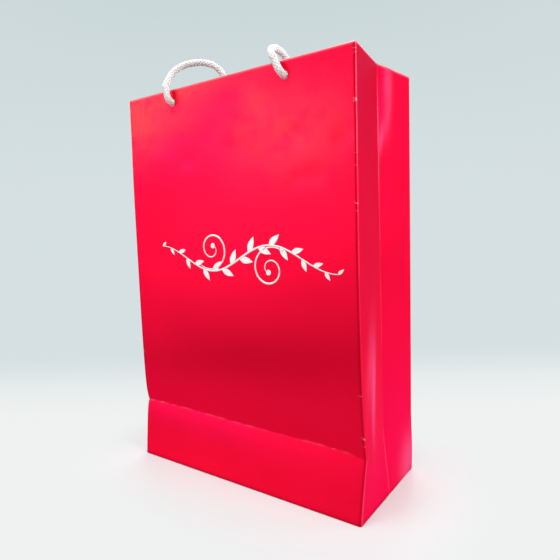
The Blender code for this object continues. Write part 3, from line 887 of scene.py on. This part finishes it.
def sprigTree():
    tree, given, result = newTree("printedSprig", {
        "Panel": "Object", "Leaf Spacing": "Float", "Leaf Length": "Float", "Leaf Width": "Float", "Spread": "Float",
        "Stroke": "Float", "Berry": "Float", "Proud": "Float", "Finish": "Material"})
    stems = addNode(tree, "GeometryNodeMeshToCurve", {0: given["Geometry"]}).outputs[0]
    share = addNode(tree, "GeometryNodeSplineParameter").outputs["Factor"]
    middle = calc(tree, "SINE", calc(tree, "MULTIPLY", share, math.pi))
    marked = addNode(tree, "GeometryNodeStoreNamedAttribute", {"Geometry": stems, "Name": "fullness", "Value": middle},
                     data_type="FLOAT", domain="POINT").outputs[0]
    fullness = addNode(tree, "GeometryNodeInputNamedAttribute", {"Name": "fullness"}, data_type="FLOAT").outputs[0]
    halfStroke = calc(tree, "MULTIPLY", given["Stroke"], 0.5)
    ends = [addNode(tree, "ShaderNodeCombineXYZ", {"Y": calc(tree, "MULTIPLY", halfStroke, way)}).outputs[0] for way in (-1.0, 1.0)]
    nib = addNode(tree, "GeometryNodeCurvePrimitiveLine", {"Start": ends[0], "End": ends[1]}).outputs[0]
    taper = calc(tree, "MULTIPLY_ADD", fullness, 0.75, 0.40)
    strokes = addNode(tree, "GeometryNodeCurveToMesh", {"Curve": marked, "Profile Curve": nib, "Scale": taper}).outputs[0]

    # A leaf blade from a small grid
    grid = addNode(tree, "GeometryNodeMeshGrid", {"Size X": 1.0, "Size Y": 1.0, "Vertices X": 9, "Vertices Y": 3}).outputs[0]
    place = addNode(tree, "ShaderNodeSeparateXYZ", {0: addNode(tree, "GeometryNodeInputPosition").outputs[0]}).outputs
    out = calc(tree, "ADD", place["X"], 0.5)
    belly = calc(tree, "SINE", calc(tree, "MULTIPLY", calc(tree, "POWER", out, 0.8), math.pi))
    blade = addNode(tree, "ShaderNodeCombineXYZ", {
        "X": calc(tree, "MULTIPLY", out, given["Leaf Length"]),
        "Z": calc(tree, "MULTIPLY", calc(tree, "MULTIPLY", place["Y"], belly), given["Leaf Width"])}).outputs[0]
    leaf = addNode(tree, "GeometryNodeSetPosition", {"Geometry": grid, "Position": blade}).outputs[0]
    dots = addNode(tree, "GeometryNodeCurveToPoints", {"Curve": marked, "Length": given["Leaf Spacing"]}, mode="LENGTH")
    way = addNode(tree, "ShaderNodeSeparateXYZ", {0: dots.outputs["Tangent"]}).outputs
    index = addNode(tree, "GeometryNodeInputIndex").outputs[0]
    side = calc(tree, "SUBTRACT", 1.0, calc(tree, "MULTIPLY", calc(tree, "MODULO", index, 2.0), 2.0))
    lean = calc(tree, "MULTIPLY_ADD", side, given["Spread"], calc(tree, "ARCTAN2", way["Z"], way["X"]))
    turn = addNode(tree, "ShaderNodeCombineXYZ", {"Y": calc(tree, "MULTIPLY", lean, -1.0)}).outputs[0]
    size = calc(tree, "MULTIPLY_ADD", fullness, 0.55, 0.45)
    line = addNode(tree, "GeometryNodeInputNamedAttribute", {"Name": "line"}, data_type="FLOAT").outputs[0]
    leafy = calc(tree, "LESS_THAN", line, 0.5)
    leaves = addNode(tree, "GeometryNodeInstanceOnPoints", {"Points": dots.outputs["Points"], "Selection": leafy, "Instance": leaf,
                                                               "Rotation": turn, "Scale": size}).outputs[0]

    # A berry at the end of each curl
    disc = addNode(tree, "GeometryNodeMeshCircle", {"Vertices": 18, "Radius": given["Berry"]}, fill_type="TRIANGLE_FAN").outputs[0]
    upright = addNode(tree, "GeometryNodeTransform", {"Geometry": disc, "Rotation": (math.pi / 2, 0.0, 0.0)}).outputs[0]
    tips = addNode(tree, "GeometryNodeCurveEndpointSelection", {"Start Size": 0, "End Size": 1}).outputs[0]
    tips = calc(tree, "MULTIPLY", tips, calc(tree, "SUBTRACT", 1.0, leafy))
    berries = addNode(tree, "GeometryNodeInstanceOnPoints", {"Points": marked, "Selection": tips, "Instance": upright}).outputs[0]

    joined = addNode(tree, "GeometryNodeJoinGeometry")
    for part in (strokes, leaves, berries):
        tree.links.new(part, joined.inputs[0])
    plain = addNode(tree, "GeometryNodeRealizeInstances", {0: joined.outputs[0]}).outputs[0]
    panel = addNode(tree, "GeometryNodeObjectInfo", {"Object": given["Panel"]}).outputs["Geometry"]
    ray = addNode(tree, "GeometryNodeRaycast", {"Target Geometry": panel, "Ray Direction": (0.0, 1.0, 0.0), "Ray Length": 0.2})
    lift = addNode(tree, "ShaderNodeCombineXYZ", {"Y": calc(tree, "MULTIPLY", given["Proud"], -1.0)}).outputs[0]
    pressed = addNode(tree, "GeometryNodeSetPosition", {
        "Geometry": plain, "Selection": ray.outputs["Is Hit"],
        "Position": vecCalc(tree, "ADD", ray.outputs["Hit Position"], lift)}).outputs[0]
    dressed = addNode(tree, "GeometryNodeSetMaterial", {"Geometry": pressed, "Material": given["Finish"]}).outputs[0]
    tree.links.new(dressed, result)
    return tree


def addSprig():
    s = sprig
    mesh = runTree(lineObject("sprigLines", sprigLines()), sprigTree(), {
        "Panel": shell, "Leaf Spacing": s["leafSpacing"], "Leaf Length": s["leafLength"], "Leaf Width": s["leafWidth"],
        "Spread": math.radians(s["spread"]), "Stroke": s["stroke"], "Berry": s["berry"],
        "Proud": s["proud"], "Finish": whiteInk})
    shape = bmesh.new()
    shape.from_mesh(mesh)
    bmesh.ops.remove_doubles(shape, verts=shape.verts, dist=0.00001)
    bmesh.ops.reverse_faces(shape, faces=[face for face in shape.faces if face.normal.y > 0])
    shape.to_mesh(mesh)
    shape.free()
    piece = addPiece("printed_sprig", mesh)
    film = piece.modifiers.new("film", "SOLIDIFY")
    film.thickness = s["film"]
    film.offset = -1.0
    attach(piece, "bag")
    return piece


ornament = addSprig()
print("printed sprig:", len(ornament.data.polygons), "faces")


# Floor, backdrop and light

studio = {
    "floor": (0.745, 0.80, 0.815), "bounce": (0.30, 0.29, 0.29),
    "near": (0.87, 0.88, 0.88), "wall": (0.67, 0.745, 0.76), "high": (0.58, 0.67, 0.68),
    "depth": 1.0, "sweep": 0.6, "tall": 2.4, "half": 3.6, "front": -3.0,
    "plain": (0.0, 0.08), "least": 0.3, "behind": (0.10, 0.42), "rise": (0.3, 1.3), "far": (1.2, 2.8), "edge": (0.66, 0.735, 0.75),
    "leftPlace": (-1.02, -1.32, 0.47), "leftSize": (1.15, 0.95), "leftPower": 5.6,
    "softPlace": (-1.25, -1.42, 0.77), "softSize": (1.3, 0.38), "softPower": 8.4,
    "sidePlace": (1.40, -0.15, 0.55), "sideSize": (0.8, 1.0), "sidePower": 15.5,
    "rimPlace": (1.10, 0.75, 0.50), "rimSize": (0.30, 0.8), "rimPower": 4.0,
    "topPlace": (0.0, -0.30, 1.15), "topSize": (0.7, 0.6), "topPower": 7.5,
    "backPlace": (-0.70, 1.30, 0.70), "backSize": (1.3, 0.9), "backPower": 17.0,
    "sky": (0.80, 0.89, 0.91), "skyStrength": 0.20, "skySeen": 0.825,
}


def fadeNode(tree, value, reach):
    return addNode(tree, "ShaderNodeMapRange", {"Value": value, "From Min": reach[0], "From Max": reach[1]},
                   interpolation_type="SMOOTHSTEP").outputs[0]


def seenRays(tree):
    ray = addNode(tree, "ShaderNodeLightPath").outputs
    return calc(tree, "MAXIMUM", calc(tree, "MAXIMUM", ray["Is Camera Ray"], ray["Is Glossy Ray"]), ray["Is Transmission Ray"])


def stageFinish():
    # A floor that keeps the shadow, running into an even backdrop
    s = studio
    material, tree, shader = newFinish("paleStage")
    seen = seenRays(tree)
    tree.links.new(mixColours(tree, seen, s["bounce"], s["floor"]), shader["Base Color"])
    shader["Roughness"].default_value = 0.35
    shader["Specular IOR Level"].default_value = 0.08
    place = addNode(tree, "ShaderNodeTexCoord").outputs["Object"]
    turn = Quaternion((0, 0, 1), math.radians(viewpoint["azimuth"]))
    behind, up = [addNode(tree, "ShaderNodeVectorMath", {0: place, 1: turn @ Vector(axis)},
                          operation="DOT_PRODUCT").outputs["Value"] for axis in ((0, 1, 0), (0, 0, 1))]
    colour = mixColours(tree, fadeNode(tree, behind, s["behind"]), s["near"], s["wall"])
    colour = mixColours(tree, fadeNode(tree, up, s["rise"]), colour, s["high"])
    spread = vecCalc(tree, "SUBTRACT", addNode(tree, "ShaderNodeVectorMath", {0: place}, operation="ABSOLUTE").outputs[0],
                     (*paperShell["baseHalf"], 9.0))
    outside = vecCalc(tree, "MAXIMUM", spread, (0.0, 0.0, 0.0))
    away = addNode(tree, "ShaderNodeVectorMath", {0: outside}, operation="LENGTH").outputs["Value"]
    colour = mixColours(tree, fadeNode(tree, away, s["far"]), colour, s["edge"])
    glow = addNode(tree, "ShaderNodeEmission", {"Color": colour}).outputs[0]
    plain = calc(tree, "MULTIPLY", remap(tree, fadeNode(tree, away, s["plain"]), 0.0, 1.0, s["least"], 1.0), seen)
    mixed = addNode(tree, "ShaderNodeMixShader", {0: plain, 1: tree.nodes["Principled BSDF"].outputs[0], 2: glow}).outputs[0]
    tree.links.new(mixed, tree.nodes["Material Output"].inputs["Surface"])
    return material


def addStage():
    # The sweep stands square to the camera
    s = studio
    profile = [(s["front"], 0.0), (s["depth"], 0.0)]
    for step in range(1, 13):
        angle = math.pi / 2 * step / 12
        profile.append((s["depth"] + s["sweep"] * math.sin(angle), s["sweep"] * (1 - math.cos(angle))))
    profile.append((s["depth"] + s["sweep"], s["tall"]))
    turn = Quaternion((0, 0, 1), math.radians(viewpoint["azimuth"]))
    points = [turn @ Vector((side * s["half"], y, z - 0.0002)) for y, z in profile for side in (-1, 1)]
    faces = [(2 * i, 2 * i + 1, 2 * i + 3, 2 * i + 2) for i in range(len(profile) - 1)]
    mesh = bpy.data.meshes.new("sweep")
    mesh.from_pydata(points, [], faces)
    mesh.shade_smooth()
    mesh.materials.append(stageFinish())
    addPiece("sweep", mesh)


def addLight(name):
    s = studio
    data = bpy.data.lights.new(name, "AREA")
    data.shape = "RECTANGLE"
    data.size, data.size_y = s[name + "Size"]
    data.energy = s[name + "Power"]
    light = bpy.data.objects.new(name, data)
    light.location = s[name + "Place"]
    light.visible_camera = False
    light.rotation_euler = (Vector((0, 0, 0.16)) - light.location).to_track_quat("-Z", "Y").to_euler()
    scene.collection.objects.link(light)


def addSky():
    # Pale where it is seen or mirrored, softer where it lights the bag
    world = bpy.data.worlds.new("softRoom")
    world.use_nodes = True
    tree = world.node_tree
    strength = remap(tree, seenRays(tree), 0.0, 1.0, studio["skyStrength"], studio["skySeen"])
    tree.links.new(strength, tree.nodes["Background"].inputs["Strength"])
    tree.nodes["Background"].inputs["Color"].default_value = (*studio["sky"], 1.0)
    scene.world = world


addStage()
for name in ("left", "soft", "side", "rim", "top", "back"):
    addLight(name)
addSky()
print("stage and lights placed")
